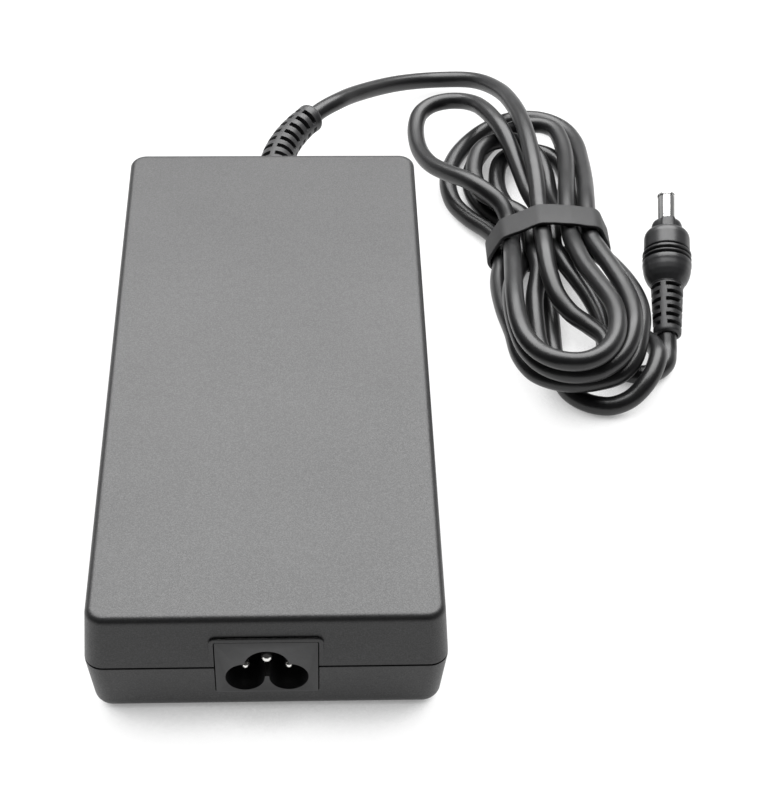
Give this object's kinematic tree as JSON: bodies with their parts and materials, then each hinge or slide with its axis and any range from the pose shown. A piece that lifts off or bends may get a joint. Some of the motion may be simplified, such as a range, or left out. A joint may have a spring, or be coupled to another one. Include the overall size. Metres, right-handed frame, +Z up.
{
  "type": "laptop power adapter",
  "caption": "Flat rectangular mains power adapter with a three-pole inlet, a bend-relief sleeve and a thin output cord tied in a hank, ending in a barrel plug.",
  "frame": {"origin": "middle of the housing's footprint, on the surface that it stands on", "axes": "+Z up, +Y from the mains inlet to the cord end, +X to the side on which the hank lies"},
  "size_m": [0.161, 0.2611, 0.031],
  "materials": {
    "housing_top": "fine spark-eroded grain",
    "housing_base": "fine spark-eroded grain",
    "inlet_plastic": "satin moulded plastic",
    "plated_pin": "tin plated, slightly dull",
    "sleeve_rubber": "satin moulded vinyl",
    "cord_jacket": "satin vinyl jacket",
    "strap": "matte",
    "plug_plastic": "satin overmould",
    "nickel": "nickel plated",
    "insulator_black": "matte",
    "contact_metal": "plated spring contact",
    "board_laminate": "solder mask",
    "insulating_film": "thin film",
    "spreader_metal": "rolled sheet",
    "thermal_pad": "soft pad",
    "fuse_ceramic": "moulded fuse body",
    "disc_coating": "dipped coating",
    "copper_winding": "enamelled copper",
    "film_box": "moulded box",
    "moulded_black": "moulded package",
    "sink_metal": "punched sheet",
    "capacitor_sleeve": "shrunk sleeve",
    "ferrite": "sintered ferrite",
    "winding_tape": "polyester tape",
    "choke_green": "coated core with wire",
    "wire_red": "wire insulation",
    "wire_black": "wire insulation"
  },
  "bodies": {
    "root": {"upper_shell": "housing_top", "lower_shell": "housing_base", "inlet_housing": "inlet_plastic", "pin_live": "plated_pin", "pin_neutral": "plated_pin", "pin_earth": "plated_pin", "cord_sleeve": "sleeve_rubber", "cord_lead": "cord_jacket", "cord_hank": "cord_jacket", "hank_strap": "strap", "plug_grip": "plug_plastic", "plug_relief": "sleeve_rubber", "plug_barrel": "nickel", "plug_insulator": "insulator_black", "plug_contact": "contact_metal", "circuit_board": "board_laminate", "floor_sheet": "insulating_film", "floor_spreader": "spreader_metal", "floor_pad": "thermal_pad", "roof_sheet": "insulating_film", "roof_spreader": "spreader_metal", "roof_pad": "thermal_pad", "fuse": "fuse_ceramic", "surge_disc": "disc_coating", "mains_choke_a": "copper_winding", "mains_choke_b": "copper_winding", "mains_capacitor": "film_box", "disc_capacitor_a": "disc_coating", "disc_capacitor_b": "disc_coating", "bridge_rectifier": "moulded_black", "bridge_sink": "sink_metal", "bulk_capacitor": "capacitor_sleeve", "boost_choke": "ferrite", "boost_winding": "winding_tape", "primary_sink": "sink_metal", "switch_a": "moulded_black", "switch_b": "moulded_black", "transformer_core": "ferrite", "transformer_winding": "winding_tape", "output_sink": "sink_metal", "output_rectifier_a": "moulded_black", "output_rectifier_b": "moulded_black", "output_capacitor_a": "capacitor_sleeve", "output_capacitor_b": "capacitor_sleeve", "output_capacitor_c": "capacitor_sleeve", "output_choke": "choke_green", "control_board": "board_laminate", "output_wire_plus": "wire_red", "output_wire_minus": "wire_black"}
  },
  "joints": []
}
